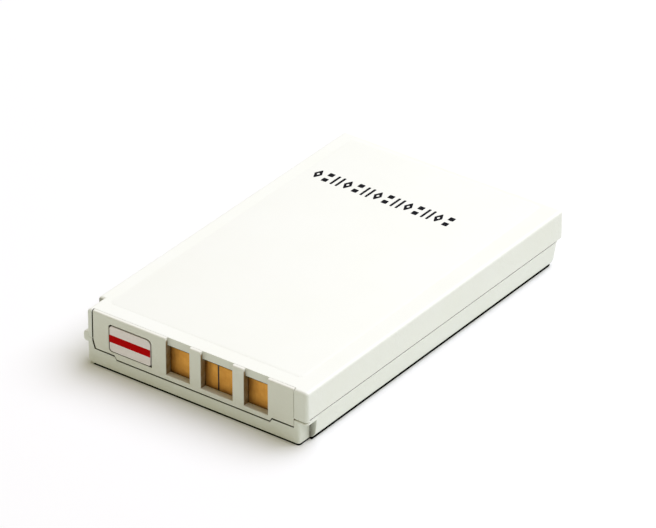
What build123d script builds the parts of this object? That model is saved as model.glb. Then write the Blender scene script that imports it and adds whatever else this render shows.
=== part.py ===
"""Flat lithium-ion battery pack of a hand-held barcode scanner, lying on its plain underside.

Millimetres, +Z up. The origin is the middle of the underside's outline. The contact end faces
-Y, and +X is on the right of someone who looks at that end.
"""
import os
from math import hypot

from build123d import *

os.makedirs("parts", exist_ok=True)

# Case
body_width = 34.0
body_length = 54.0
body_height = 7.5
parting_height = 3.5
side_wall = 1.3
front_wall = 1.15
floor_wall = 0.9
roof_wall = 0.9
top_edge_radius = 0.4
upper_corner_radius = 0.45
lower_corner_radius = 1.9
lower_edge_radius = 1.2
lower_lean = 7.5
corner_drop = 0.3

# Seam between the two shells
reveal_height = 0.15
reveal_depth = 0.4
tongue_thickness = 0.55
tongue_height = 0.7
tongue_clearance = 0.05

# Front corners: an ear with a guide nub on the left, a notch under a rim on the right
ear_inset = 0.7
ear_length = 3.1
ear_edge_radius = 0.5
nub_height = 1.4
nub_length = 1.2
nub_radius = 0.4
notch_inset = 1.2
notch_length = 2.05
notch_corner_radius = 0.35
rim_height = 0.55

# Contact holder, the plate let into the front
holder_thickness = 1.0
holder_left_margin = 0.8
holder_right_margin = 2.04
holder_base = 1.75
holder_corner_width = 0.35
holder_corner_height = 1.15
shoulder_width = 3.25
shoulder_height = 0.5
shoulder_slope = 0.3
holder_seam = 0.18
fit_gap = 0.05
lap_thickness = 0.45
band_height = 1.15
holder_edge_radius = 0.2

# Windows in the holder, open at the top
window_side_width = 3.6
window_middle_width = 4.8
window_post_width = 1.7
window_sill = 0.65

# Moisture label in its recess
label_width = 6.3
label_height = 3.56
label_window_gap = 2.425
label_side_share = 0.39
label_drop = 0.205
label_recess = 0.35
label_thickness = 0.28
label_clearance = 0.15
label_shift = 0.07
label_left_radius = 0.45
label_top_radius = 0.65
label_tight_radius = 0.3
stripe_height = 1.03
ink_thickness = 0.02

# Upright contact board and its gold pads
board_thickness = 0.8
board_side_clearance = 0.2
pad_thickness = 0.05
pad_inset = 0.1
pad_tuck = 0.15
pad_split_offset = -0.55
pad_split_gap = 0.22
pad_foot = 0.2
pad_head = 0.55
rib_thickness = 0.8
rib_height = 2.6
rib_inset = 0.9

# Electronics on the back of the board
chip_length = 2.9
chip_height = 1.6
chip_depth = 0.9
chip_legs = 3
switch_length = 3.0
switch_height = 3.0
switch_depth = 0.9
switch_legs = 4
leg_length = 0.55
leg_width = 0.3
leg_thickness = 0.15
passive_length = 1.6
passive_height = 0.8
resistor_depth = 0.45
capacitor_depth = 0.8
thermistor_depth = 0.6
part_spacing = 0.7

# Cell
bay_depth = 5.2
cell_clearance = 0.3
cell_edge_radius = 1.8
foam_thickness = 0.25
foam_margin = 4.5

# Cell header
card_thickness = 0.15
card_margin = 1.0
gasket_length = 4.0
gasket_height = 2.2
gasket_radius = 0.9
gasket_thickness = 0.3
terminal_length = 3.0
terminal_height = 1.4
terminal_thickness = 0.2
strip_thickness = 0.15
strip_height = 1.2
strip_foot = 1.6
weld_foot = 2.6
cutoff_tail = 1.0
cutoff_length = 4.6
cutoff_depth = 0.9
cutoff_height = 2.8
cutoff_offset = 1.5

# Film and ink on the top face
film_left_margin = 2.0
film_right_margin = 2.65
film_back_margin = 0.9
film_front_margin = 2.6
film_thickness = 0.05
film_corner_radius = 0.8
mark_count = 14
mark_pitch = 1.557
mark_width = 1.15
mark_height = 2.25
mark_stroke = 0.34
mark_block = 0.8
mark_left_margin = 3.87
mark_back_margin = 11.0

# Places worked out from the sizes above
left, right = -body_width / 2, body_width / 2
front, back = -body_length / 2, body_length / 2
front_plane = Plane.XZ.offset(-front)
bay_back = front + ear_length + side_wall
bay_left = left + ear_inset + side_wall
bay_right = right - notch_inset - side_wall
roof_under = body_height - roof_wall
holder_left = left + ear_inset + holder_left_margin
holder_right = right - holder_right_margin
band_bottom = body_height - band_height
corner_depth = upper_corner_radius + fit_gap
sill_height = holder_base + window_sill
row_width = 2 * window_side_width + window_middle_width + 2 * window_post_width
front_spare = holder_right - holder_left - label_width - label_window_gap - row_width
label_left = holder_left + front_spare * label_side_share
row_left = label_left + label_width + label_window_gap
windows = [
    (row_left, window_side_width),
    (row_left + window_side_width + window_post_width, window_middle_width),
    (row_left + row_width - window_side_width, window_side_width),
]
label_middle = (label_left + label_width / 2, (holder_base + body_height) / 2 - label_drop)
board_front = front + front_wall + fit_gap
board_back = board_front + board_thickness
header = front + bay_depth
cell_back = back - side_wall - cell_clearance
cell_bottom = floor_wall + foam_thickness
cell_top = roof_under - foam_thickness
cell_middle = (cell_bottom + cell_top) / 2


def holder_outline(clearance, right_clearance):
    """Corner points of the contact holder seen from the front, grown by its clearances."""
    base = holder_base - clearance
    shoulder = holder_base + shoulder_height - clearance
    outer_left = holder_left - clearance
    outer_right = holder_right + right_clearance
    return [
        (outer_left, body_height),
        (outer_left, shoulder + holder_corner_height),
        (outer_left + holder_corner_width, shoulder),
        (holder_left + shoulder_width, shoulder),
        (holder_left + shoulder_width + shoulder_slope, base),
        (holder_right - shoulder_width - shoulder_slope, base),
        (holder_right - shoulder_width, shoulder),
        (outer_right, shoulder),
        (outer_right, body_height),
    ]


# The hollow that both shells share, seen from above
with BuildSketch() as cavity_plan:
    with Locations((0, bay_back)):
        Rectangle(body_width - 2 * side_wall, back - side_wall - bay_back, align=(Align.CENTER, Align.MIN))
    with Locations((bay_left, front + front_wall)):
        Rectangle(bay_right - bay_left, bay_back - front - front_wall, align=Align.MIN)


def tongue_plan(clearance):
    """U-shaped strip along the inner half of the side and back walls."""
    inner_width = body_width - 2 * side_wall
    start = bay_back + tongue_thickness - clearance
    length = back - side_wall - start
    with BuildSketch() as plan:
        with Locations((0, start)):
            Rectangle(
                inner_width + 2 * (tongue_thickness + clearance),
                length + tongue_thickness + clearance,
                align=(Align.CENTER, Align.MIN),
            )
            Rectangle(inner_width, length, align=(Align.CENTER, Align.MIN), mode=Mode.SUBTRACT)
    return plan.sketch


# Upright nose of the lower shell, behind the ear and the notch
with BuildPart() as lower_nose:
    with BuildSketch():
        with BuildLine():
            Polyline(
                (left + ear_inset, front),
                (right - notch_inset, front),
                (right - notch_inset, front + notch_length),
                (bay_left, front + notch_length),
                (bay_left, front + ear_length),
                (left + ear_inset, front + ear_length),
                close=True,
            )
        make_face()
    extrude(amount=parting_height)
    nose_corners = lower_nose.edges().filter_by(Axis.Z)
    fillet(nose_corners.group_by(Axis.X)[-1].sort_by(Axis.Y)[0], notch_corner_radius)
    nose_bottom = lower_nose.edges().filter_by(Axis.Y).group_by(Axis.Z)[0]
    fillet(nose_bottom.sort_by(Axis.X)[0], ear_edge_radius)

with BuildPart() as lower_shell:
    # Tub that leans in towards the underside
    with BuildSketch(Plane.XY.offset(parting_height)) as tub_plan:
        Rectangle(body_width, body_length)
        fillet(tub_plan.vertices().group_by(Axis.Y)[-1], lower_corner_radius)
    extrude(amount=-parting_height, taper=lower_lean)
    fillet(lower_shell.edges().group_by(Axis.Z)[0], lower_edge_radius)
    # Its front gives way to the upright nose
    with BuildSketch():
        with Locations((0, front)):
            Rectangle(2 * body_width, 2 * notch_length)
        with Locations((left, front)):
            Rectangle(2 * (bay_left - left), 2 * ear_length)
    extrude(amount=parting_height, mode=Mode.SUBTRACT)
    add(lower_nose.part)
    # Rim above the notch
    with BuildSketch(Plane.XY.offset(parting_height - rim_height)) as rim_plan:
        with Locations((right, front)):
            Rectangle(notch_inset + side_wall, notch_length, align=(Align.MAX, Align.MIN))
        fillet(rim_plan.vertices().group_by(Axis.X)[-1].sort_by(Axis.Y)[0], upper_corner_radius)
    extrude(amount=rim_height)
    # Hollow, and the opening for the contact holder
    extrude(cavity_plan.sketch.moved(Location((0, 0, floor_wall))), amount=body_height, mode=Mode.SUBTRACT)
    with BuildSketch(front_plane):
        with BuildLine():
            Polyline(*holder_outline(holder_seam, fit_gap), close=True)
        make_face()
    extrude(amount=-front_wall, mode=Mode.SUBTRACT)
    # Rebate for the lid's right front corner, which hangs lower
    with BuildSketch(front_plane):
        with Locations((holder_right, parting_height)):
            Rectangle(right - holder_right, corner_drop, align=(Align.MIN, Align.MAX))
    extrude(amount=-(corner_depth + fit_gap), mode=Mode.SUBTRACT)
    # Tongue that enters the upper shell
    extrude(tongue_plan(0).moved(Location((0, 0, parting_height))), amount=tongue_height)
    # Ribs that hold the board against the front wall
    with BuildSketch(Plane.XY.offset(floor_wall)):
        with Locations((bay_left + rib_inset, board_back + fit_gap), (bay_right - rib_inset, board_back + fit_gap)):
            Rectangle(rib_thickness, rib_thickness, align=(Align.CENTER, Align.MIN))
    extrude(amount=rib_height)
    # Guide nub beside the ear, across the parting line
    with BuildSketch(front_plane) as nub_face:
        with Locations((left + ear_inset, parting_height)):
            Rectangle(ear_inset, nub_height, align=(Align.MAX, Align.CENTER))
        fillet(nub_face.vertices().group_by(Axis.X)[0], nub_radius)
    extrude(amount=-nub_length)
lower_shell.part.label = "lower_shell"
export_step(lower_shell.part, "parts/lower_shell.step")

with BuildPart() as upper_shell:
    with BuildSketch(Plane.XY.offset(parting_height)) as lid_plan:
        Rectangle(body_width, body_length)
        fillet(lid_plan.vertices().group_by(Axis.Y)[-1], upper_corner_radius)
        fillet(lid_plan.vertices().group_by(Axis.Y)[0].sort_by(Axis.X)[-1], upper_corner_radius)
        with Locations((left, front)):
            Rectangle(2 * ear_inset, 2 * ear_length, mode=Mode.SUBTRACT)
    extrude(amount=body_height - parting_height)
    fillet(upper_shell.edges().group_by(Axis.Z)[-1], top_edge_radius)
    # Hollow and the rebate for the tongue
    extrude(
        cavity_plan.sketch.moved(Location((0, 0, parting_height))),
        amount=roof_under - parting_height,
        mode=Mode.SUBTRACT,
    )
    extrude(
        tongue_plan(tongue_clearance).moved(Location((0, 0, parting_height))),
        amount=tongue_height + tongue_clearance,
        mode=Mode.SUBTRACT,
    )
    # Opening for the contact holder: deep below the band, shallow in front of it
    with BuildSketch(front_plane):
        with BuildLine():
            Polyline(*holder_outline(holder_seam, fit_gap), close=True)
        make_face()
    extrude(amount=-(lap_thickness + fit_gap), mode=Mode.SUBTRACT)
    with BuildSketch(front_plane):
        with Locations((holder_left - holder_seam, band_bottom)):
            Rectangle(
                holder_right - holder_left + holder_seam + fit_gap,
                band_bottom - parting_height,
                align=(Align.MIN, Align.MAX),
            )
    extrude(amount=-front_wall, mode=Mode.SUBTRACT)
    # Open shadow line around the outside, which stops at the ear
    with BuildSketch(Plane.XY.offset(parting_height)) as reveal_plan:
        Rectangle(2 * body_width, 2 * body_length)
        Rectangle(body_width - 2 * reveal_depth, body_length - 2 * reveal_depth, mode=Mode.SUBTRACT)
        with Locations((left, front)):
            Rectangle(2 * holder_left - 2 * left, 2 * ear_length, mode=Mode.SUBTRACT)
    extrude(amount=reveal_height, mode=Mode.SUBTRACT)
    # Right front corner, which hangs lower
    with BuildSketch(Plane.XY.offset(parting_height + reveal_height)) as corner_plan:
        with Locations((right, front)):
            Rectangle(right - holder_right - fit_gap, corner_depth, align=(Align.MAX, Align.MIN))
        fillet(corner_plan.vertices().group_by(Axis.X)[-1].sort_by(Axis.Y)[0], upper_corner_radius)
    extrude(amount=-corner_drop)
upper_shell.part.label = "upper_shell"
export_step(upper_shell.part, "parts/upper_shell.step")

with BuildPart() as contact_holder:
    with BuildSketch(front_plane):
        with BuildLine():
            Polyline(*holder_outline(0, 0), close=True)
        make_face()
    extrude(amount=-holder_thickness)
    fillet(
        contact_holder.edges().filter_by(Axis.X).group_by(Axis.Z)[-1].sort_by(Axis.Y)[0],
        holder_edge_radius,
    )
    # Lap in front of the upper shell's band
    with BuildSketch(Plane.XZ.offset(-front - lap_thickness)):
        with Locations((0, band_bottom - fit_gap)):
            Rectangle(body_width, body_height, align=(Align.CENTER, Align.MIN))
    extrude(amount=-holder_thickness, mode=Mode.SUBTRACT)
    # Windows
    with BuildSketch(front_plane):
        for window_left, window_width in windows:
            with Locations((window_left, sill_height)):
                Rectangle(window_width, body_height, align=Align.MIN)
    extrude(amount=-holder_thickness, mode=Mode.SUBTRACT)
    # Recess of the moisture label, which lies a little left and low in it
    with BuildSketch(front_plane) as recess_face:
        with Locations((label_middle[0] + label_shift, label_middle[1] + label_shift)):
            Rectangle(label_width + 2 * label_clearance, label_height + 2 * label_clearance)
        fillet(recess_face.vertices().group_by(Axis.X)[0], label_left_radius)
        fillet(recess_face.vertices().group_by(Axis.X)[-1].sort_by(Axis.Y)[-1], label_top_radius)
    extrude(amount=-label_recess, mode=Mode.SUBTRACT)
contact_holder.part.label = "contact_holder"
export_step(contact_holder.part, "parts/contact_holder.step")

label_back = Plane.XZ.offset(-front - label_recess)
with BuildPart() as moisture_label:
    with BuildSketch(label_back) as label_face:
        with Locations(label_middle):
            Rectangle(label_width, label_height)
        fillet(label_face.vertices().group_by(Axis.X)[0], label_left_radius)
        fillet(label_face.vertices().group_by(Axis.X)[-1].sort_by(Axis.Y)[-1], label_top_radius)
        fillet(label_face.vertices().group_by(Axis.X)[-1].sort_by(Axis.Y)[0], label_tight_radius)
    extrude(amount=label_thickness)
moisture_label.part.label = "moisture_label"
export_step(moisture_label.part, "parts/moisture_label.step")

with BuildPart() as moisture_stripe:
    with BuildSketch(label_back.offset(label_thickness)):
        with Locations(label_middle):
            Rectangle(label_width, stripe_height)
    extrude(amount=ink_thickness)
moisture_stripe.part.label = "moisture_stripe"
export_step(moisture_stripe.part, "parts/moisture_stripe.step")

board_left = bay_left + board_side_clearance
board_right = bay_right - board_side_clearance
board_bottom = floor_wall + fit_gap
board_top = roof_under - fit_gap
with BuildPart() as contact_board:
    with BuildSketch(Plane.XZ.offset(-board_front)):
        with Locations((board_left, board_bottom)):
            Rectangle(board_right - board_left, board_top - board_bottom, align=Align.MIN)
    extrude(amount=-board_thickness)
contact_board.part.label = "contact_board"
export_step(contact_board.part, "parts/contact_board.step")

# The pads reach a little behind the posts on their left and behind the sill
pad_split = windows[1][0] + window_middle_width / 2 + pad_split_offset
pad_spans = {
    "positive_pad": (windows[0][0] - pad_tuck, windows[0][0] + window_side_width - pad_inset),
    "sense_pad": (windows[1][0] - pad_tuck, pad_split - pad_split_gap / 2),
    "thermistor_pad": (pad_split + pad_split_gap / 2, windows[1][0] + window_middle_width - pad_inset),
    "negative_pad": (windows[2][0] - pad_tuck, windows[2][0] + window_side_width - pad_inset),
}
pad_height = band_bottom - pad_head - sill_height + pad_foot
for pad_name, (pad_left, pad_right) in pad_spans.items():
    with BuildPart() as contact_pad:
        with BuildSketch(Plane.XZ.offset(-board_front)):
            with Locations((pad_left, sill_height - pad_foot)):
                Rectangle(pad_right - pad_left, pad_height, align=Align.MIN)
        extrude(amount=pad_thickness)
    contact_pad.part.label = pad_name
    export_step(contact_pad.part, f"parts/{pad_name}.step")

# Parts soldered to the back of the board stand in one row at mid height
board_rear = Plane.XZ.offset(-board_back)
board_middle = (board_bottom + board_top) / 2
chip_x = -(chip_length / 2 + part_spacing)
switch_x = part_spacing + switch_length / 2


def legged_chip(middle, length, height, depth, legs):
    """Moulded chip on the board's back with a row of legs above and below."""
    pitch = (length - leg_width) / (legs - 1)
    with BuildPart() as chip:
        with BuildSketch(board_rear):
            with Locations((middle, board_middle)):
                Rectangle(length, height)
        extrude(amount=-depth)
        with BuildSketch(board_rear):
            with Locations((middle, board_middle)):
                with GridLocations(pitch, height + leg_length, legs, 2):
                    Rectangle(leg_width, leg_length)
        extrude(amount=-leg_thickness)
    return chip.part


protection_chip = legged_chip(chip_x, chip_length, chip_height, chip_depth, chip_legs)
protection_chip.label = "protection_chip"
export_step(protection_chip, "parts/protection_chip.step")

switch_body_height = switch_height - 2 * leg_length
switch_transistors = legged_chip(switch_x, switch_length, switch_body_height, switch_depth, switch_legs)
switch_transistors.label = "switch_transistors"
export_step(switch_transistors, "parts/switch_transistors.step")

resistor_x = chip_x - chip_length / 2 - part_spacing - passive_length / 2
capacitor_x = switch_x + switch_length / 2 + part_spacing + passive_length / 2
with BuildPart() as chip_resistors:
    with BuildSketch(board_rear):
        with Locations((resistor_x, board_middle)):
            with GridLocations(0, 2 * passive_height, 1, 2):
                Rectangle(passive_length, passive_height)
    extrude(amount=-resistor_depth)
chip_resistors.part.label = "chip_resistors"
export_step(chip_resistors.part, "parts/chip_resistors.step")

with BuildPart() as chip_capacitors:
    with BuildSketch(board_rear):
        with Locations((capacitor_x, board_middle)):
            with GridLocations(0, 2 * passive_height, 1, 2):
                Rectangle(passive_length, passive_height)
    extrude(amount=-capacitor_depth)
chip_capacitors.part.label = "chip_capacitors"
export_step(chip_capacitors.part, "parts/chip_capacitors.step")

with BuildPart() as thermistor:
    with BuildSketch(board_rear):
        with Locations((capacitor_x + passive_length + part_spacing, board_middle)):
            Rectangle(passive_height, passive_length)
    extrude(amount=-thermistor_depth)
thermistor.part.label = "thermistor"
export_step(thermistor.part, "parts/thermistor.step")

# Sealed prismatic can with rounded narrow sides
with BuildPart() as cell_can:
    with BuildSketch(Plane.XZ.offset(-header)) as can_section:
        with Locations((0, cell_middle)):
            RectangleRounded(
                body_width - 2 * side_wall - 2 * cell_clearance,
                cell_top - cell_bottom,
                cell_edge_radius,
            )
    extrude(amount=-(cell_back - header))
cell_can.part.label = "cell_can"
export_step(cell_can.part, "parts/cell_can.step")

foam_length = cell_back - header - 2 * foam_margin
foam_width = body_width - 2 * side_wall - 2 * foam_margin
for foam_name, foam_bottom in (("lower_foam_pad", floor_wall), ("upper_foam_pad", cell_top)):
    with BuildPart() as foam_pad:
        with BuildSketch(Plane.XY.offset(foam_bottom)):
            with Locations((0, (header + cell_back) / 2)):
                Rectangle(foam_width, foam_length)
        extrude(amount=foam_thickness)
    foam_pad.part.label = foam_name
    export_step(foam_pad.part, f"parts/{foam_name}.step")

header_plane = Plane.XZ.offset(-header)
with BuildPart() as terminal_gasket:
    with BuildSketch(header_plane):
        with Locations((0, cell_middle)):
            RectangleRounded(gasket_length, gasket_height, gasket_radius)
    extrude(amount=gasket_thickness)
terminal_gasket.part.label = "terminal_gasket"
export_step(terminal_gasket.part, "parts/terminal_gasket.step")

terminal_face = header_plane.offset(gasket_thickness)
with BuildPart() as negative_terminal:
    with BuildSketch(terminal_face):
        with Locations((0, cell_middle)):
            Rectangle(terminal_length, terminal_height)
    extrude(amount=terminal_thickness)
negative_terminal.part.label = "negative_terminal"
export_step(negative_terminal.part, "parts/negative_terminal.step")

# Nickel strips bend once towards the board and end in a foot soldered to it
strip_plane = Plane.XY.offset(cell_middle - strip_height / 2)
weld_y = header - gasket_thickness - terminal_thickness
cutoff_left = terminal_length / 2 + cutoff_offset
cutoff_right = cutoff_left + cutoff_length
cutoff_back = weld_y + fit_gap
with BuildPart() as terminal_strip:
    with BuildSketch(strip_plane):
        with Locations((-terminal_length / 2, weld_y)):
            Rectangle(cutoff_left + terminal_length / 2, strip_thickness, align=(Align.MIN, Align.MAX))
    extrude(amount=strip_height)
terminal_strip.part.label = "terminal_strip"
export_step(terminal_strip.part, "parts/terminal_strip.step")

with BuildPart() as thermal_cutoff:
    with BuildSketch(Plane.XZ.offset(-cutoff_back)):
        with Locations((cutoff_left, cell_middle)):
            Rectangle(cutoff_length, cutoff_height, align=(Align.MIN, Align.CENTER))
    extrude(amount=cutoff_depth)
thermal_cutoff.part.label = "thermal_cutoff"
export_step(thermal_cutoff.part, "parts/thermal_cutoff.step")


def bent_strip(start_x, bend_x, weld, foot_left):
    """Strip from a weld at start_x, along to bend_x, forward to the board and along it in a foot."""
    with BuildPart() as strip:
        with BuildSketch(strip_plane):
            with Locations((start_x, weld - strip_thickness)):
                Rectangle(bend_x - start_x, strip_thickness, align=Align.MIN)
            with Locations((bend_x - strip_thickness, board_back)):
                Rectangle(strip_thickness, weld - board_back, align=Align.MIN)
            with Locations((foot_left, board_back)):
                Rectangle(strip_foot, strip_thickness, align=Align.MIN)
        extrude(amount=strip_height)
    return strip.part


cutoff_bend = cutoff_right + cutoff_tail
cutoff_strip = bent_strip(cutoff_right, cutoff_bend, weld_y, cutoff_bend - strip_thickness)
cutoff_strip.label = "cutoff_strip"
export_step(cutoff_strip, "parts/cutoff_strip.step")

weld_left = left + side_wall + cell_clearance + cell_edge_radius + card_margin
can_bend = weld_left + weld_foot
can_strip = bent_strip(weld_left, can_bend, header, can_bend - strip_foot)
can_strip.label = "can_strip"
export_step(can_strip, "parts/can_strip.step")

# Insulating card over the rest of the header, with a hole for the gasket
card_left = can_bend + card_margin
card_right = right - side_wall - cell_clearance - cell_edge_radius
with BuildPart() as header_card:
    with BuildSketch(header_plane):
        with Locations((card_left, cell_middle)):
            Rectangle(
                card_right - card_left,
                cell_top - cell_bottom - card_margin,
                align=(Align.MIN, Align.CENTER),
            )
        with Locations((0, cell_middle)):
            RectangleRounded(
                gasket_length + 2 * fit_gap,
                gasket_height + 2 * fit_gap,
                gasket_radius,
                mode=Mode.SUBTRACT,
            )
    extrude(amount=card_thickness)
header_card.part.label = "header_card"
export_step(header_card.part, "parts/header_card.step")

with BuildPart() as top_film:
    with BuildSketch(Plane.XY.offset(body_height)):
        with Locations((left + film_left_margin, front + film_front_margin)):
            RectangleRounded(
                body_width - film_left_margin - film_right_margin,
                body_length - film_front_margin - film_back_margin,
                film_corner_radius,
                align=Align.MIN,
            )
    extrude(amount=film_thickness)
top_film.part.label = "top_film"
export_step(top_film.part, "parts/top_film.step")

# Row of plain ink shapes: open lozenges, pairs of blocks and pairs of posts in turn
mark_places = [
    (left + mark_left_margin + index * mark_pitch, back - mark_back_margin) for index in range(mark_count)
]
lozenge_inner = 1 - 2 * mark_stroke * hypot(mark_width, mark_height) / (mark_width * mark_height)


def lozenge_corners(share):
    """Corner points of a lozenge with this share of a mark's size."""
    half_width, half_height = share * mark_width / 2, share * mark_height / 2
    return [(half_width, 0), (0, half_height), (-half_width, 0), (0, -half_height)]


with BuildPart() as ink_marks:
    with BuildSketch(Plane.XY.offset(body_height + film_thickness)):
        with Locations(mark_places[0::3]):
            Polygon(*lozenge_corners(1), align=None)
            Polygon(*lozenge_corners(lozenge_inner), align=None, mode=Mode.SUBTRACT)
        with Locations(mark_places[1::3]):
            with GridLocations(0, mark_height - mark_block, 1, 2):
                Rectangle(mark_block, mark_block)
        with Locations(mark_places[2::3]):
            with GridLocations(mark_width - mark_stroke, 0, 2, 1):
                Rectangle(mark_stroke, mark_height)
    extrude(amount=ink_thickness)
ink_marks.part.label = "ink_marks"
export_step(ink_marks.part, "parts/ink_marks.step")
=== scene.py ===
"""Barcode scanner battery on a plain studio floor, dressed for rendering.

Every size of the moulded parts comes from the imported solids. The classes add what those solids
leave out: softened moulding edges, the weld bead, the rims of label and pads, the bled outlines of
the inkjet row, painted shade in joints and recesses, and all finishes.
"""
from __future__ import annotations

import logging
import math
from dataclasses import dataclass, field
from enum import Enum
from typing import Any, Callable, Sequence

import bmesh
import bpy
from mathutils import Matrix, Vector

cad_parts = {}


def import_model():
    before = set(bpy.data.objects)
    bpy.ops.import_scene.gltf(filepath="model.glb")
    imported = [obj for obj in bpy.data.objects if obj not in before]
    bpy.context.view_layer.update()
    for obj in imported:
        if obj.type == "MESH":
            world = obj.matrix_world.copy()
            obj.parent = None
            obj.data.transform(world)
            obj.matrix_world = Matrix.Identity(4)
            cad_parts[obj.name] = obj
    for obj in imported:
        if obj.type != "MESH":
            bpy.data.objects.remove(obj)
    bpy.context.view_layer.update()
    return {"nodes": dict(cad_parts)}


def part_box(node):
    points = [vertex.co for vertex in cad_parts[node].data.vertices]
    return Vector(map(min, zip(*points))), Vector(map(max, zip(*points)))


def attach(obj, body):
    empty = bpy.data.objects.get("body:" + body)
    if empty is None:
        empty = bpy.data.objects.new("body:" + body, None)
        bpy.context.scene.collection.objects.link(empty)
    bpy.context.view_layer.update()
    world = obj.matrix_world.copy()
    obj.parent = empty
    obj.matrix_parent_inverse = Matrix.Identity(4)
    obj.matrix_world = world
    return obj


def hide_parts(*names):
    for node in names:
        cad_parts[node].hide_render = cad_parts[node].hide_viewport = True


MM = 0.001
SEAM = "seam"

# How meshes are cleaned and rounded, in millimetres and degrees
MERGE = 0.0005
SLIVER = 0.0002
FLAT = 0.6
CREASE = 35.0
SHEET_CREASE = 50.0
EDGE_STEPS = 3
EVENNESS = 80
# Part of a normal that makes its face look that way, or look aside
FACING = 0.9
ASIDE = 0.5
# Part of a film's height that stays upright at its rim
RIM_SHARE = 0.1
# Octaves of a cloudy pattern
COARSE = 2.0
FINE = 3.0
FINEST = 4.0
# How much finer a wave pattern is than others of its scale, when half a wave counts as one thread
WAVE = 6.3

log = logging.getLogger("battery")

Point = tuple[float, float]
Box = tuple[Vector, Vector]
Colour = tuple[float, float, float, float]
Tree = bpy.types.NodeTree
Part = bpy.types.Object
Face = bmesh.types.BMFace
Shape = bmesh.types.BMesh


def linear(hex_colour: str) -> Colour:
    """Turns an sRGB hex colour into linear values.

    Args:
        hex_colour: Colour written as #RRGGBB.

    Returns:
        Linear red, green, blue and an alpha of one.
    """
    values = [int(hex_colour[at : at + 2], 16) / 255 for at in (1, 3, 5)]
    red, green, blue = (v / 12.92 if v <= 0.04045 else ((v + 0.055) / 1.055) ** 2.4 for v in values)
    return (red, green, blue, 1.0)


def box_of(node: str) -> Box:
    """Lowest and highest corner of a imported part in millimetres."""
    low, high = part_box(node)
    return low / MM, high / MM


def cells(size: float) -> float:
    """Texture scale that gives a pattern of this size in millimetres."""
    return 1 / (size * MM)


def add_node(
    tree: Tree,
    kind: str,
    settings: dict[str | int, Any] | None = None,
    links: dict[str | int, Any] | None = None,
) -> bpy.types.Node:
    """Adds a node to a tree, sets it and wires its inputs.

    Args:
        tree: Shader or geometry node tree.
        kind: Node type.
        settings: Node properties and input values, by property name, socket name or index.
        links: Output socket, or a list of them, for each linked input.

    Returns:
        The new node.
    """
    node = tree.nodes.new(kind)
    for key, value in (settings or {}).items():
        if isinstance(key, str) and key in node.bl_rna.properties:
            setattr(node, key, value)
        else:
            node.inputs[key].default_value = value
    for key, sources in (links or {}).items():
        for source in sources if isinstance(sources, list) else [sources]:
            tree.links.new(source, node.inputs[key])
    return node


# Finishes


@dataclass(frozen=True)
class Finish:
    """A material of the real battery, with the name of a slot that the script keeps but doesn't use."""

    name: str
    slot: str

    def material(self) -> bpy.types.Material:
        """Makes the material once.

        Returns:
            The material, shared by every piece with this finish.
        """
        made = bpy.data.materials.get(self.name)
        if made is None:
            made = bpy.data.materials.new(self.name)
            made.use_nodes = True
            tree = made.node_tree
            tree.nodes.clear()
            shader = add_node(tree, "ShaderNodeBsdfPrincipled")
            add_node(tree, "ShaderNodeOutputMaterial", links={"Surface": shader.outputs[0]})
            self.wire(tree, shader)
        return made

    def wire(self, tree: Tree, shader: bpy.types.Node) -> None:
        """Sets the shader and its patterns. Each kind of finish has its own."""
        raise NotImplementedError


def clouds(tree: Tree, place: Any, size: float, detail: float = COARSE) -> Any:
    """Cloudy pattern in object space.

    Args:
        tree: Material tree.
        place: Socket with the place to read.
        size: Size of one cloud in millimetres.
        detail: Finer octaves on top of it.

    Returns:
        Socket with values around one half.
    """
    made = add_node(tree, "ShaderNodeTexNoise", {"Scale": cells(size), "Detail": detail}, {"Vector": place})
    return made.outputs[0]


def spread(tree: Tree, value: Any, low: float, high: float) -> Any:
    """Stretches a cloudy pattern over a range.

    Args:
        tree: Material tree.
        value: Socket with values around one half.
        low: Result where the pattern is weakest.
        high: Result where it is strongest.

    Returns:
        Socket with the result.
    """
    ends = {"From Min": 0.3, "From Max": 0.7, "To Min": low, "To Max": high}
    return add_node(tree, "ShaderNodeMapRange", ends, {"Value": value}).outputs[0]


def blended(tree: Tree, factor: Any, first: str, second: str) -> Any:
    """Mixes two sRGB colours.

    Args:
        tree: Material tree.
        factor: Socket with the share of the second colour.
        first: Colour at zero.
        second: Colour at one.

    Returns:
        Socket with the colour.
    """
    ends = {"data_type": "RGBA", 6: linear(first), 7: linear(second)}
    return add_node(tree, "ShaderNodeMix", ends, {0: factor}).outputs[2]


def coat(
    tree: Tree,
    shader: bpy.types.Node,
    looks: dict[str, Any],
    pattern: Any = None,
    depth: float = 0.0,
    share: Any = None,
) -> None:
    """Links the patterns of a finish to its shader.

    Args:
        tree: Material tree.
        shader: Its shader.
        looks: Socket for each named input of the shader.
        pattern: Socket with the pattern that dents the surface, if any does.
        depth: Depth of the dents in millimetres.
        share: Socket with the share of that depth, if it isn't the same all over.
    """
    for name, source in looks.items():
        tree.links.new(source, shader.inputs[name])
    if pattern is not None:
        links = {"Height": pattern} if share is None else {"Height": pattern, "Strength": share}
        dents = add_node(tree, "ShaderNodeBump", {"Distance": depth * MM}, links)
        tree.links.new(dents.outputs[0], shader.inputs["Normal"])


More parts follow.
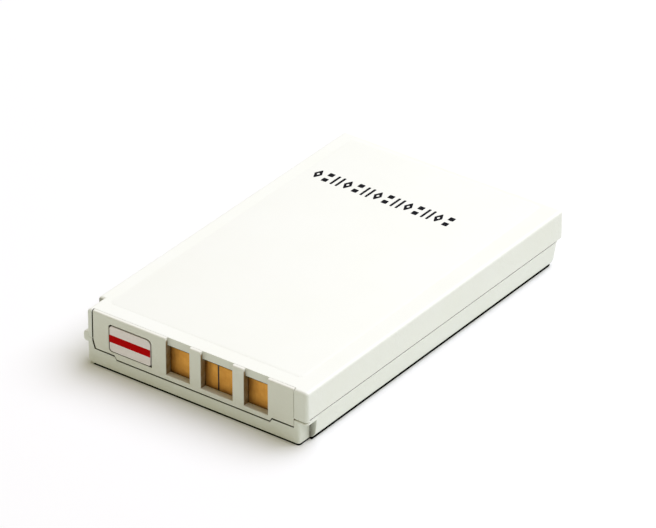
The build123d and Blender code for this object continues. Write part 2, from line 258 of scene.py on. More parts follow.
@dataclass(frozen=True)
class MouldedPlastic(Finish):
    """Injection-moulded plastic with a spark-eroded skin: soft sheen over a fine even grain."""

    colour: str
    flow_colour: str
    roughness: float
    grain: float = 0.3
    relief: float = 0.004
    flow: float = 7.0
    ior: float = 1.5
    # Painted shade for the walls of recesses: its colour, how deep and up to what height it lies, how patchy
    # it is, and how much less on ledges than on right-facing walls
    recess_shade: str = ""
    recess_shade_start: float = 0.0
    recess_shade_depth: float = 1.0
    recess_shade_top: float = 0.0
    recess_shade_fade: float = 0.3
    recess_shade_patch: float = 0.8
    recess_shade_least: float = 0.85
    ledge_share: float = 0.14
    wall_normal: float = 0.8
    # Colour of the painted shade in joints and gaps, laid on by each face's stored share
    seam_shade: str = ""
    gloss_spread: Point = (0.05, 0.06)
    top_relief: float = 0.1
    side_normal: float = 0.4

    def wire(self, tree: Tree, shader: bpy.types.Node) -> None:
        """Grain that wears smooth on top, faint flow clouds in the colour, handling in the gloss."""
        place = add_node(tree, "ShaderNodeTexCoord").outputs["Object"]
        flow = spread(tree, clouds(tree, place, self.flow), 0.0, 1.0)
        colour = blended(tree, flow, self.colour, self.flow_colour)
        # Painted shade on the walls of recesses, then grey painted shade in the joints
        if self.recess_shade:
            colour = self.painted_recess_shade(tree, place, colour)
        if self.seam_shade:
            seam = add_node(tree, "ShaderNodeAttribute", {"attribute_name": SEAM}).outputs["Fac"]
            seam_shade_mix = {"data_type": "RGBA", 7: linear(self.seam_shade)}
            colour = add_node(tree, "ShaderNodeMix", seam_shade_mix, {0: seam, 6: colour}).outputs[2]
        shader.inputs["IOR"].default_value = self.ior
        handled = clouds(tree, place, self.flow / 3, FINEST)
        smoother, rougher = self.gloss_spread
        gloss = spread(tree, handled, self.roughness - smoother, self.roughness + rougher)
        normal = add_node(tree, "ShaderNodeTexCoord").outputs["Normal"]
        up = add_node(tree, "ShaderNodeSeparateXYZ", links={0: normal}).outputs[2]
        worn = {"From Min": self.side_normal, "From Max": FACING, "To Min": 1.0, "To Max": self.top_relief}
        eroded = add_node(tree, "ShaderNodeMapRange", worn, {"Value": up}).outputs[0]
        looks = {"Base Color": colour, "Roughness": gloss}
        coat(tree, shader, looks, clouds(tree, place, self.grain), self.relief, eroded)

    def painted_recess_shade(self, tree: Tree, place: Any, unshaded: Any) -> Any:
        """Painted shade in recesses, denser further back and on walls that face right.

        Args:
            tree: Material tree.
            place: Socket with the place to read.
            unshaded: Socket with the colour without the painted shade.

        Returns:
            Socket with the colour with the painted shade.
        """
        _, depth, height = add_node(tree, "ShaderNodeSeparateXYZ", links={0: place}).outputs
        start = self.recess_shade_start * MM
        ends = {"From Min": start, "From Max": start + self.recess_shade_depth * MM, "To Min": 0.0, "To Max": 1.0}
        share = add_node(tree, "ShaderNodeMapRange", ends, {"Value": depth}).outputs[0]
        end = self.recess_shade_top * MM
        rubbed = {"From Min": end - self.recess_shade_fade * MM, "From Max": end, "To Min": 1.0, "To Max": 0.0}
        low = add_node(tree, "ShaderNodeMapRange", rubbed, {"Value": height}).outputs[0]
        normal = add_node(tree, "ShaderNodeTexCoord").outputs["Normal"]
        sideways = add_node(tree, "ShaderNodeSeparateXYZ", links={0: normal}).outputs[0]
        wall = {"From Min": 0.0, "From Max": self.wall_normal, "To Min": self.ledge_share, "To Max": 1.0}
        held = add_node(tree, "ShaderNodeMapRange", wall, {"Value": sideways}).outputs[0]
        patchy = spread(tree, clouds(tree, place, self.recess_shade_patch, FINE), self.recess_shade_least, 1.0)
        dense, times = share, {"operation": "MULTIPLY"}
        for factor in (low, held, patchy):
            dense = add_node(tree, "ShaderNodeMath", times, {0: dense, 1: factor}).outputs[0]
        brown = {"data_type": "RGBA", 7: linear(self.recess_shade)}
        return add_node(tree, "ShaderNodeMix", brown, {0: dense, 6: unshaded}).outputs[2]


class Rub(Enum):
    """Way that a metal was worked, as the stretch of its scratches along each axis."""

    ROLLED = (12.0, 1.0, 1.0)
    DRAWN = (1.0, 12.0, 1.0)
    WIPED = (1.0, 1.0, 10.0)


@dataclass(frozen=True)
class WorkedMetal(Finish):
    """Plated or drawn metal: a strong reflection broken by fine scratches that all run one way."""

    colour: str
    worn_colour: str
    roughness: float
    rub: Rub
    scratch: float = 0.12
    relief: float = 0.002
    tarnish: float = 0.9
    gloss_spread: Point = (0.06, 0.1)

    def wire(self, tree: Tree, shader: bpy.types.Node) -> None:
        """Stretched scratches in gloss and relief, tarnish clouds in the colour."""
        place = add_node(tree, "ShaderNodeTexCoord").outputs["Object"]
        shorten = tuple(1 / s for s in self.rub.value)
        along = add_node(tree, "ShaderNodeMapping", {"Scale": shorten}, {"Vector": place}).outputs[0]
        scratches = clouds(tree, along, self.scratch, FINE)
        tarnish = spread(tree, clouds(tree, place, self.tarnish, FINE), 0.0, 1.0)
        smoother, rougher = self.gloss_spread
        looks = {
            "Base Color": blended(tree, tarnish, self.colour, self.worn_colour),
            "Roughness": spread(tree, scratches, self.roughness - smoother, self.roughness + rougher),
        }
        shader.inputs["Metallic"].default_value = 1.0
        coat(tree, shader, looks, scratches, self.relief)


@dataclass(frozen=True)
class MaskedLaminate(Finish):
    """Glass-epoxy board: near-black solder mask on both faces, tan woven glass at its cut edges."""

    mask: str
    glass: str
    thread: str = "#D9C89A"
    weave: float = 0.45
    relief: float = 0.006
    gloss_cloud: float = 1.5
    gloss_range: Point = (0.3, 0.42)

    def wire(self, tree: Tree, shader: bpy.types.Node) -> None:
        """The weave shows as relief under the mask and as light threads along the edges."""
        place = add_node(tree, "ShaderNodeTexCoord").outputs["Object"]
        bands = {"bands_direction": "Z", "Scale": cells(self.weave) / WAVE}
        threads = add_node(tree, "ShaderNodeTexWave", bands, {"Vector": place}).outputs[1]
        normal = add_node(tree, "ShaderNodeTexCoord").outputs["Normal"]
        facing = add_node(tree, "ShaderNodeSeparateXYZ", links={0: normal}).outputs[1]
        side = add_node(tree, "ShaderNodeMath", {"operation": "ABSOLUTE"}, {0: facing}).outputs[0]
        outward = {"operation": "GREATER_THAN", 1: ASIDE}
        face = add_node(tree, "ShaderNodeMath", outward, {0: side}).outputs[0]
        edge = blended(tree, threads, self.glass, self.thread)
        mask = {"data_type": "RGBA", 7: linear(self.mask)}
        looks = {
            "Base Color": add_node(tree, "ShaderNodeMix", mask, {0: face, 6: edge}).outputs[2],
            "Roughness": spread(tree, clouds(tree, place, self.gloss_cloud), *self.gloss_range),
        }
        coat(tree, shader, looks, threads, self.relief)


@dataclass(frozen=True)
class FibrePaper(Finish):
    """Pressed paper or card: matt, with short fibres lying every way."""

    colour: str
    fibre_colour: str
    fibre: float
    roughness: float = 0.7
    relief: float = 0.005
    gloss_spread: float = 0.08
    stretch: float = 4.0

    def wire(self, tree: Tree, shader: bpy.types.Node) -> None:
        """Stretched clouds cross each other as the fibres do."""
        place = add_node(tree, "ShaderNodeTexCoord").outputs["Object"]
        fibres = []
        for scale in ((1 / self.stretch, 1.0, 1.0), (1.0, 1.0, 1 / self.stretch)):
            along = add_node(tree, "ShaderNodeMapping", {"Scale": scale}, {"Vector": place}).outputs[0]
            fibres.append(clouds(tree, along, self.fibre, FINEST))
        mat = add_node(tree, "ShaderNodeMath", {"operation": "MAXIMUM"}, dict(enumerate(fibres))).outputs[0]
        smooth, rough = self.roughness - self.gloss_spread, self.roughness + self.gloss_spread
        looks = {
            "Base Color": blended(tree, spread(tree, mat, 0.0, 1.0), self.colour, self.fibre_colour),
            "Roughness": spread(tree, mat, smooth, rough),
        }
        coat(tree, shader, looks, mat, self.relief)


@dataclass(frozen=True)
class PrintInk(Finish):
    """Dried printing ink: a dense film that thins in places and follows the sheet under it."""

    colour: str
    thin_colour: str
    roughness: float
    sheen: float = 0.1
    cloud: float = 0.35
    relief: float = 0.002
    gloss_spread: float = 0.06

    def wire(self, tree: Tree, shader: bpy.types.Node) -> None:
        """Small clouds thin the ink and break its gloss."""
        place = add_node(tree, "ShaderNodeTexCoord").outputs["Object"]
        density = clouds(tree, place, self.cloud, FINE)
        smooth, rough = self.roughness - self.gloss_spread, self.roughness + self.gloss_spread
        looks = {
            "Base Color": blended(tree, spread(tree, density, 0.0, 1.0), self.colour, self.thin_colour),
            "Roughness": spread(tree, density, smooth, rough),
        }
        shader.inputs["Specular IOR Level"].default_value = self.sheen
        coat(tree, shader, looks, density, self.relief)


@dataclass(frozen=True)
class ChipCeramic(Finish):
    """Fired ceramic chip whose two ends are dipped in tin."""

    colour: str
    tin: str
    middle: float
    end_start: float
    waver: float = 0.12
    waver_cloud: float = 0.3
    gloss_cloud: float = 0.4
    gloss_range: Point = (0.3, 0.45)

    def wire(self, tree: Tree, shader: bpy.types.Node) -> None:
        """The distance along the chip chooses ceramic or tin."""
        place = add_node(tree, "ShaderNodeTexCoord").outputs["Object"]
        along = add_node(tree, "ShaderNodeSeparateXYZ", links={0: place}).outputs[0]
        centred = {"operation": "SUBTRACT", 1: self.middle * MM}
        offset = add_node(tree, "ShaderNodeMath", centred, {0: along}).outputs[0]
        reach = add_node(tree, "ShaderNodeMath", {"operation": "ABSOLUTE"}, {0: offset}).outputs[0]
        rim = {"operation": "MULTIPLY_ADD", 1: self.waver * MM, 2: (self.end_start - self.waver / 2) * MM}
        cloud = clouds(tree, place, self.waver_cloud)
        wavy = add_node(tree, "ShaderNodeMath", rim, {0: cloud}).outputs[0]
        end = add_node(tree, "ShaderNodeMath", {"operation": "GREATER_THAN"}, {0: reach, 1: wavy}).outputs[0]
        looks = {
            "Base Color": blended(tree, end, self.colour, self.tin),
            "Metallic": end,
            "Roughness": spread(tree, clouds(tree, place, self.gloss_cloud), *self.gloss_range),
        }
        coat(tree, shader, looks)


@dataclass(frozen=True)
class OpenFoam(Finish):
    """Soft polyurethane foam: matt and full of small open cells."""

    colour: str
    cell_colour: str
    cell: float = 0.5
    roughness: float = 0.92
    relief: float = 0.05

    def wire(self, tree: Tree, shader: bpy.types.Node) -> None:
        """Cells darken the colour and dent the surface."""
        place = add_node(tree, "ShaderNodeTexCoord").outputs["Object"]
        size = {"Scale": cells(self.cell)}
        wall = add_node(tree, "ShaderNodeTexVoronoi", size, {"Vector": place}).outputs[0]
        shader.inputs["Roughness"].default_value = self.roughness
        looks = {"Base Color": blended(tree, wall, self.cell_colour, self.colour)}
        coat(tree, shader, looks, wall, self.relief)


# Bright neutral white with a soft, broad sheen and an even skin. The real grain is under 0.1 mm, so it
# is drawn at 0.28 mm. Painted shade darkens the joints to grey.
WHITE_CASE = MouldedPlastic(
    "PC-ABS moulded white", "white_case", "#F2F2EC", "#F1F1E9", 0.45,
    grain=0.28, relief=0.045, seam_shade="#4C483C",
)
# A slightly warmer and duller white than the case, with the same grain. The walls of its windows carry
# brown painted shade, warmed as by light bounced off the gold pads, and its joints grey painted shade.
WHITE_HOLDER = MouldedPlastic(
    "PBT moulded white", "holder_plastic", "#F0EFE6", "#EEECE4", 0.48,
    grain=0.28, relief=0.045, seam_shade="#4C483C",
    recess_shade="#775B2A", recess_shade_start=-27.0, recess_shade_depth=0.12, recess_shade_top=7.3,
)
# Matt and faintly pink, with short fibres. They are drawn at 0.25 mm, coarser than real ones.
LABEL_PAPER = FibrePaper("Moisture label paper", "label_film", "#FFF5F7", "#FAEFF0", 0.25, 0.55)
# Flat dense red, almost without gloss.
RED_INK = PrintInk("Red flexo ink", "red_ink", "#CE0709", "#C20609", 0.6, 0.02)
# Near black and half glossy on its faces, tan with lighter threads where it is cut.
BOARD = MaskedLaminate("Glass-epoxy board", "board_laminate", "#150F0C", "#B9A56E")
# Warm yellow that turns brown where it mirrors shade, with upright marks of the plug's contacts. Real
# marks are some 0.02 mm wide, so they are drawn at 0.16 mm.
GOLD = WorkedMetal(
    "Hard gold on nickel", "gold_plate", "#D9A34D", "#CB9341", 0.55, Rub.WIPED, scratch=0.16, relief=0.02
)
# Dull near-black resin. Its grain is drawn at 0.15 mm, three times as coarse as a real one.
CHIP_RESIN = MouldedPlastic("Epoxy chip resin", "chip_resin", "#1D1D20", "#242427", 0.55, 0.15, 0.006, 1.5)
# Cool bright grey with long lines of the drawing tool, drawn at 0.12 mm, coarser than real ones.
CAN_METAL = WorkedMetal("Drawn aluminium can", "can_aluminium", "#CDCFD1", "#C3C5C8", 0.34, Rub.DRAWN)
# Smooth dark blue-grey with a waxy sheen.
GASKET = MouldedPlastic("Polypropylene gasket", "gasket_plastic", "#2E3440", "#333A48", 0.4, 0.2, 0.002, 2.0)
# Warm light grey with a clear reflection and rolling lines, drawn at 0.12 mm as on the can.
NICKEL = WorkedMetal("Rolled nickel strip", "nickel", "#C6BFB0", "#B8B0A0", 0.3, Rub.ROLLED)
# Dull, dark green-grey resin.
CUTOFF = MouldedPlastic("Cutoff housing resin", "cutoff_resin", "#232A2B", "#2A3233", 0.5, 0.18, 0.003, 2.0)
# Matt grey-green with felted fibres, drawn at 0.3 mm, coarser than real ones.
CARD = FibrePaper("Barley paper", "barley_paper", "#8FA38A", "#7C9278", 0.3)
# Matt grey, full of dark cells of half a millimetre.
FOAM = OpenFoam("Polyurethane foam", "foam", "#5B5D60", "#303234")
# Clear, so it has the white of the case under it and shows by its rim and its smoother sheen.
FILM = MouldedPlastic("Matt polypropylene film", "clear_film", "#F2F2EC", "#F1F1EA", 0.45, 0.9, 0.003, 9.0)
# Dense black with a trace of gloss, greyer where it thins.
BLACK_INK = PrintInk("Black solvent ink", "black_ink", "#050509", "#101016", 0.6, 0.04)


# Mesh helpers


def put(name: str, data: bpy.types.ID) -> Part:
    """Puts a new object with this data into the scene."""
    made = bpy.data.objects.new(name, data)
    bpy.context.scene.collection.objects.link(made)
    return made


def piece_of(name: str, mesh: bpy.types.Mesh, finish: Finish) -> Part:
    """Makes a mesh a piece of the battery.

    Args:
        name: Name of the piece.
        mesh: Mesh with its place and its material in it.
        finish: Its finish.

    Returns:
        The new object, which rides on the battery's one body.
    """
    made = put(name, mesh)
    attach(made, "root")
    log.info("%s: %d faces, %s", name, len(mesh.polygons), finish.name)
    return made


def link_mesh(name: str, bm: Shape, finish: Finish) -> Part:
    """Turns a bmesh into a piece of the battery.

    Args:
        name: Name of the piece.
        bm: Mesh with its place in it. It is freed.
        finish: Its finish.

    Returns:
        The new object.
    """
    mesh = bpy.data.meshes.new(name)
    bm.to_mesh(mesh)
    bm.free()
    mesh.materials.append(finish.material())
    return piece_of(name, mesh, finish)


def shade(bm: Shape, crease: float) -> None:
    """Marks every face smooth and every edge above this angle in degrees sharp."""
    for face in bm.faces:
        face.smooth = True
    for edge in bm.edges:
        edge.smooth = edge.is_manifold and edge.calc_face_angle(0) < math.radians(crease)


def level_shading(piece: Part) -> None:
    """Weights the normals by face area, so that flat faces stay flat beside their soft edges."""
    weighted = piece.modifiers.new("Even shading", "WEIGHTED_NORMAL")
    weighted.keep_sharp = True
    weighted.weight = EVENNESS


def softened_copy(
    node: Part, radii: Sequence[float], edge_radius: Callable[[Vector, Vector], float]
) -> Shape:
    """Copies a moulded part and rounds its outward edges, as a mould's own edges are.

    Args:
        node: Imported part.
        radii: Edge radii in millimetres, the largest first.
        edge_radius: Picks one of them for an edge with these ends, or zero for none.

    Returns:
        The softened mesh.
    """
    bm = bmesh.new()
    bm.from_mesh(node.data)
    lowest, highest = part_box(node.name)
    bmesh.ops.remove_doubles(bm, verts=bm.verts, dist=MERGE * MM)
    flat = math.radians(FLAT)
    bmesh.ops.dissolve_limit(bm, angle_limit=flat, verts=bm.verts, edges=bm.edges, delimit={"NORMAL"})
    for radius in radii:
        chosen = [
            edge
            for edge in bm.edges
            if edge.is_manifold
            and edge.calc_face_angle_signed(0) > math.radians(CREASE)
            and edge_radius(*(vert.co / MM for vert in edge.verts)) == radius
        ]
        bmesh.ops.bevel(
            bm, geom=chosen, offset=radius * MM, offset_type="OFFSET", segments=EDGE_STEPS, profile=0.5,
            affect="EDGES", clamp_overlap=False, miter_outer="SHARP", loop_slide=True,
        )
    for vert in bm.verts:
        vert.co = Vector(min(max(at, low), high) for at, low, high in zip(vert.co, lowest, highest))
    bmesh.ops.dissolve_degenerate(bm, edges=bm.edges, dist=SLIVER * MM)
    shade(bm, CREASE)
    return bm


def store_painted_shade(bm: Shape, share: Callable[[Face, Vector], float]) -> None:
    """Stores how much painted shade each corner of each face holds, for the material to read.

    Args:
        bm: Mesh of a moulded part.
        share: Gives the share at one corner of a face, from zero to one.
    """
    layer = bm.loops.layers.float.new(SEAM)
    for face in bm.faces:
        for loop in face.loops:
            loop[layer] = share(face, loop.vert.co / MM)


def rounded_outline(middle: Point, size: Point, radii: Sequence[float], steps: int = 8) -> list[Point]:
    """Corner points of a rectangle with four radii.

    Args:
        middle: Middle of the rectangle in millimetres.
        size: Its width and height.
        radii: Radii of the right top, left top, left bottom and right bottom corners.
        steps: Points in each corner, less one.

    Returns:
        Points, counter-clockwise.
    """
    corners = [(1, 1, 0), (-1, 1, 90), (-1, -1, 180), (1, -1, 270)]
    points = []
    for (to_right, to_top, start), radius in zip(corners, radii):
        centre_x = middle[0] + to_right * (size[0] / 2 - radius)
        centre_y = middle[1] + to_top * (size[1] / 2 - radius)
        for step in range(steps + 1):
            angle = math.radians(start + 90 * step / steps)
            points.append((centre_x + radius * math.cos(angle), centre_y + radius * math.sin(angle)))
    return points


class Facing(Enum):
    """Way that a thin sheet faces."""

    FRONT = "front"
    UP = "up"

    def place(self, point: Point, depth: float) -> Vector:
        """Point of a sheet in metres.

        Args:
            point: Place on the sheet in millimetres.
            depth: Height of the surface along the way it faces, in millimetres of the frame.

        Returns:
            The place in the frame.
        """
        if self is Facing.FRONT:
            return Vector((point[0], depth, point[1])) * MM
        return Vector((point[0], point[1], depth)) * MM


def thin_sheet(
    outline: Sequence[Point], facing: Facing, under: float, over: float, edge: float, ramp: float = 0.0
) -> Shape:
    """Thin closed sheet with a rounded rim.

    Args:
        outline: Its outline, counter-clockwise as seen from the side it faces.
        facing: Way that it faces.
        under: Depth of its hidden side in millimetres.
        over: Depth of its shown side.
        edge: Radius of the rim on the shown side.
        ramp: Width over which the glue lets the rim of a film slope down, instead of an upright rim.

    Returns:
        The mesh.
    """
    bm = bmesh.new()
    face = bm.faces.new([bm.verts.new(facing.place(point, under)) for point in outline])
    raised = bmesh.ops.extrude_face_region(bm, geom=[face])["geom"]
    top = next(item for item in raised if isinstance(item, Face))
    shift = facing.place((0, 0), over) - facing.place((0, 0), under)
    if ramp:
        bmesh.ops.translate(bm, verts=top.verts, vec=shift * RIM_SHARE)
        bmesh.ops.recalc_face_normals(bm, faces=bm.faces)
        rise = shift.length * (1 - RIM_SHARE)
        bmesh.ops.inset_region(bm, faces=[top], thickness=ramp * MM, depth=rise, use_even_offset=True)
    else:
        bmesh.ops.translate(bm, verts=top.verts, vec=shift)
        bmesh.ops.recalc_face_normals(bm, faces=bm.faces)
        bmesh.ops.bevel(
            bm, geom=list(top.edges), offset=edge * MM, segments=EDGE_STEPS, profile=0.5, affect="EDGES",
            clamp_overlap=True,
        )
    shade(bm, SHEET_CREASE)
    return bm


# Sub-assemblies


@dataclass
class Case:
    """The two welded shells of the case and the weld between them.

    Sizes are in millimetres. The sides of ear and notch are measured from the middle, their walls and the
    front of the weld from the case's front. The fields near, slack and margin say how far off a point may
    lie and still count as there, and the shares say how much painted shade a face holds.
    """

    nodes: dict[str, Part]
    finish: Finish = WHITE_CASE
    mould_edge: float = 0.08
    foot_edge: float = 0.1
    seam_edge: float = 0.03
    side_wall: float = 1.3
    front_wall: float = 1.15
    lap: float = 0.5
    near: float = 0.02
    sill: float = 2.2
    parting: float = 3.5
    reveal: float = 0.15
    lid_step: float = 0.375
    slack: float = 0.01
    margin: float = 0.2
    seam_share: float = 0.8
    ear_back: float = 3.2
    ear_side: float = -16.2
    ear_share: float = 0.5
    notch_side: float = 15.8
    notch_wall: float = 1.95
    notch_share: float = 0.85
    notch_fade: float = 0.75
    bead_inset: float = 0.22
    bead_share: float = 1.0
    bead_width: float = 0.5
    bead_corner: float = 1.0
    bead_front: float = 0.56
    size: Vector = field(init=False)
    holder: Box = field(init=False)

    def __post_init__(self) -> None:
        """Reads the size of the case and the place of the contact holder."""
        low, high = box_of("upper_shell")
        self.size = Vector((high.x - low.x, high.y - low.y, high.z))
        self.holder = box_of("contact_holder")

    def seam_shade(self, face: Face, corner: Vector) -> float:
        """Painted shade that a face holds, in the joints and steps where shade falls.

        Args:
            face: Face of a shell.
            corner: One of its corners in millimetres.

        Returns:
            A little in the shadow line between the shells and in the steps behind the ear and the notch,
            one in the gap round the holder, else zero.
        """
        low, high = self.holder
        middle = face.calc_center_median() / MM
        from_front = middle.y + self.size.y / 2
        # Painted shade in the step at the back of the notch, darkest at its inner side
        if face.normal.y < -FACING and middle.x > self.notch_side and from_front > self.notch_wall:
            outwards = (corner.x - self.notch_side) / (self.size.x / 2 - self.notch_side)
            return max(0.0, self.notch_share - self.notch_fade * outwards)
        # Painted shade in the step behind the ear
        if face.normal.y < -FACING and middle.x < self.ear_side and from_front > self.ear_back - self.margin:
            return self.ear_share
        # Painted shade in the shadow line between the shells, none beside the ear
        heights = [vert.co.z / MM for vert in face.verts]
        bottom, top = self.parting - self.slack, self.parting + self.reveal + self.slack
        if bottom < min(heights) and max(heights) < top:
            on_ear = middle.x < low.x and from_front < self.ear_back
            return 0.0 if on_ear else self.seam_share
        # Painted shade in the gap round the holder
        beside = low.x - self.margin < middle.x < high.x - self.margin
        level = low.z - self.margin < middle.z < high.z
        return float(beside and level and middle.y < high.y and abs(face.normal.y) < ASIDE)

    def inside(self, point: Vector) -> bool:
        """Whether a point lies on the walls of the hollow, where no one sees the edges."""
        beside = abs(point.x) < self.size.x / 2 - self.side_wall + self.near
        return beside and point.y > self.front_wall - self.size.y / 2 - self.near

    def around_holder(self, point: Vector) -> bool:
        """Whether a point lies on the mouth of the opening that takes the contact holder."""
        low, high = self.holder
        beside = low.x - self.margin < point.x < high.x + self.margin
        level = low.z - self.margin < point.z < high.z - self.near
        return beside and level and point.y < low.y + self.near

    def under_lap(self, point: Vector) -> bool:
        """Whether a point lies on the top edge of the band behind the holder, which stays crisp."""
        return point.z > self.size.z - self.near and abs(point.y + self.size.y / 2 - self.lap) < self.near

    def at_joint(self, start: Vector, end: Vector) -> bool:
        """Whether an edge runs along the lid's lower rim or down the short step of its lower corner."""
        bottom, top = sorted((start.z, end.z))
        rim = self.parting + self.reveal
        return abs(top - rim) < self.near and bottom > rim - self.lid_step

    def edge_radius(self, start: Vector, end: Vector) -> float:
        """Radius that the mould gives an edge.

        Args:
            start: One end in millimetres.
            end: The other end.

        Returns:
            The radius, zero for edges of the hollow.
        """
        middle = (start + end) / 2
        if self.inside(middle) or self.under_lap(middle):
            return 0.0
        if self.around_holder(middle):
            return self.mould_edge if middle.z < self.sill else self.seam_edge
        if self.at_joint(start, end):
            return 0.0
        return self.foot_edge if middle.z < self.near else self.mould_edge

    def build(self) -> None:
        """Makes both shells and the weld."""
        for name in ("upper_shell", "lower_shell"):
            radii = (self.foot_edge, self.mould_edge, self.seam_edge)
            soft = softened_copy(self.nodes[name], radii, self.edge_radius)
            store_painted_shade(soft, self.seam_shade)
            shell = link_mesh(f"moulded_{name}", soft, self.finish)
            level_shading(shell)
            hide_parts(name)
        self.weld_bead()

    def weld_bead(self) -> None:
        """Makes the melt that half fills the joint between the shells along the sides and the back, dark all
        over with the joint's painted shade.
        """
        reach_x, reach_y = self.size.x / 2 - self.bead_inset, self.size.y / 2 - self.bead_inset
        straight_x, straight_y = reach_x - self.bead_corner, reach_y - self.bead_corner
        bottom, top = self.parting + self.slack, self.parting + self.reveal - self.slack
        front, ear = self.bead_front - self.size.y / 2, self.bead_corner + self.ear_back - reach_y
        right = ((reach_x - self.bead_width, front, bottom), (reach_x, straight_y, top))
        left = ((-reach_x, ear, bottom), (self.bead_width - reach_x, straight_y, top))
        back = ((-straight_x, reach_y - self.bead_width, bottom), (straight_x, reach_y, top))
        bm = bmesh.new()
        for low, high in (right, left, back):
            middle, size = (Vector(low) + Vector(high)) / 2 * MM, (Vector(high) - Vector(low)) * MM
            place = Matrix.Translation(middle) @ Matrix.Diagonal((*size, 1.0))
            bmesh.ops.create_cube(bm, size=1.0, matrix=place)
        # The bead takes the whole grey painted shade of the joint
        store_painted_shade(bm, lambda face, corner: self.bead_share)
        shade(bm, CREASE)
        link_mesh("weld_bead", bm, self.finish)


@dataclass
class ContactEnd:
    """Holder plate with its label, and the gold pads behind its windows."""

    nodes: dict[str, Part]
    mould_edge: float = 0.07
    seam_edge: float = 0.03
    near: float = 0.02
    shoulder: float = 0.6
    groove: float = 0.3
    label_edge: float = 0.03
    label_radii: tuple[float, float, float, float] = (0.65, 0.45, 0.45, 0.3)
    stripe_edge: float = 0.008
    stripe_radius: float = 0.05
    pad_edge: float = 0.03
    pad_radius: float = 0.12
    holder: Box = field(init=False)
    label: Box = field(init=False)

    def __post_init__(self) -> None:
        """Reads the places of the plate and the label."""
        self.holder, self.label = box_of("contact_holder"), box_of("moisture_label")

    def build(self) -> None:
        """Makes the plate, the label with its stripe, and the pads."""
        radii = (self.mould_edge, self.seam_edge)
        soft = softened_copy(self.nodes["contact_holder"], radii, self.edge_radius)
        store_painted_shade(soft, self.seam_shade)
        holder = link_mesh("moulded_holder", soft, WHITE_HOLDER)
        level_shading(holder)
        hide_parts("contact_holder")
        self.sheet("moisture_label", "printed_label", LABEL_PAPER, self.label_radii, self.label_edge)
        self.sheet("moisture_stripe", "red_stripe", RED_INK, (self.stripe_radius,) * 4, self.stripe_edge)
        for pad in ("positive_pad", "sense_pad", "thermistor_pad", "negative_pad"):
            self.sheet(pad, f"gold_{pad}", GOLD, (self.pad_radius,) * 4, self.pad_edge)

    def edge_radius(self, start: Vector, end: Vector) -> float:
        """Radius that the mould gives an edge of the plate.

        Args:
            start: One end in millimetres.
            end: The other end.

        Returns:
            The radius, small at the seam, zero where the plate meets the top face.
        """
        low, high = self.holder
        middle = (start + end) / 2
        if middle.z > high.z - self.near:
            return 0.0
        if min(middle.x - low.x, high.x - middle.x) < self.shoulder or middle.z < low.z + self.shoulder:
            return self.seam_edge
        return self.mould_edge

    def seam_shade(self, face: Face, corner: Vector) -> float:
        """Painted shade that a face holds, in the gap along the plate and the groove round the label.

        Args:
            face: Face of the plate.
            corner: One of its corners. It is not used, as all corners hold as much.

        Returns:
            One on the plate's rim and in the groove round the label, else zero.
        """
        low, high = self.holder
        first, last = self.label
        middle = face.calc_center_median() / MM
        # Painted shade in the gap along the plate's rim and in the groove round the label
        rim = middle.x < low.x + self.shoulder or middle.z < low.z + self.shoulder
        groove = all(first[at] - self.groove < middle[at] < last[at] + self.groove for at in (0, 2))
        on_rim = rim and abs(face.normal.y) < ASIDE and middle.z < high.z - self.shoulder
        return float(on_rim or groove and middle.y > low.y + self.mould_edge)

    def sheet(self, node: str, name: str, finish: Finish, radii: Sequence[float], edge: float) -> None:
        """Makes one thin sheet on the contact end.

        Args:
            node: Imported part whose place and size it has.
            name: Name of the new piece.
            finish: Its finish.
            radii: Its four corner radii.
            edge: Radius of its rim.
        """
        low, high = box_of(node)
        middle = ((low.x + high.x) / 2, (low.z + high.z) / 2)
        outline = rounded_outline(middle, (high.x - low.x, high.z - low.z), radii)
        made = link_mesh(name, thin_sheet(outline, Facing.FRONT, high.y, low.y, edge), finish)
        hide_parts(node)


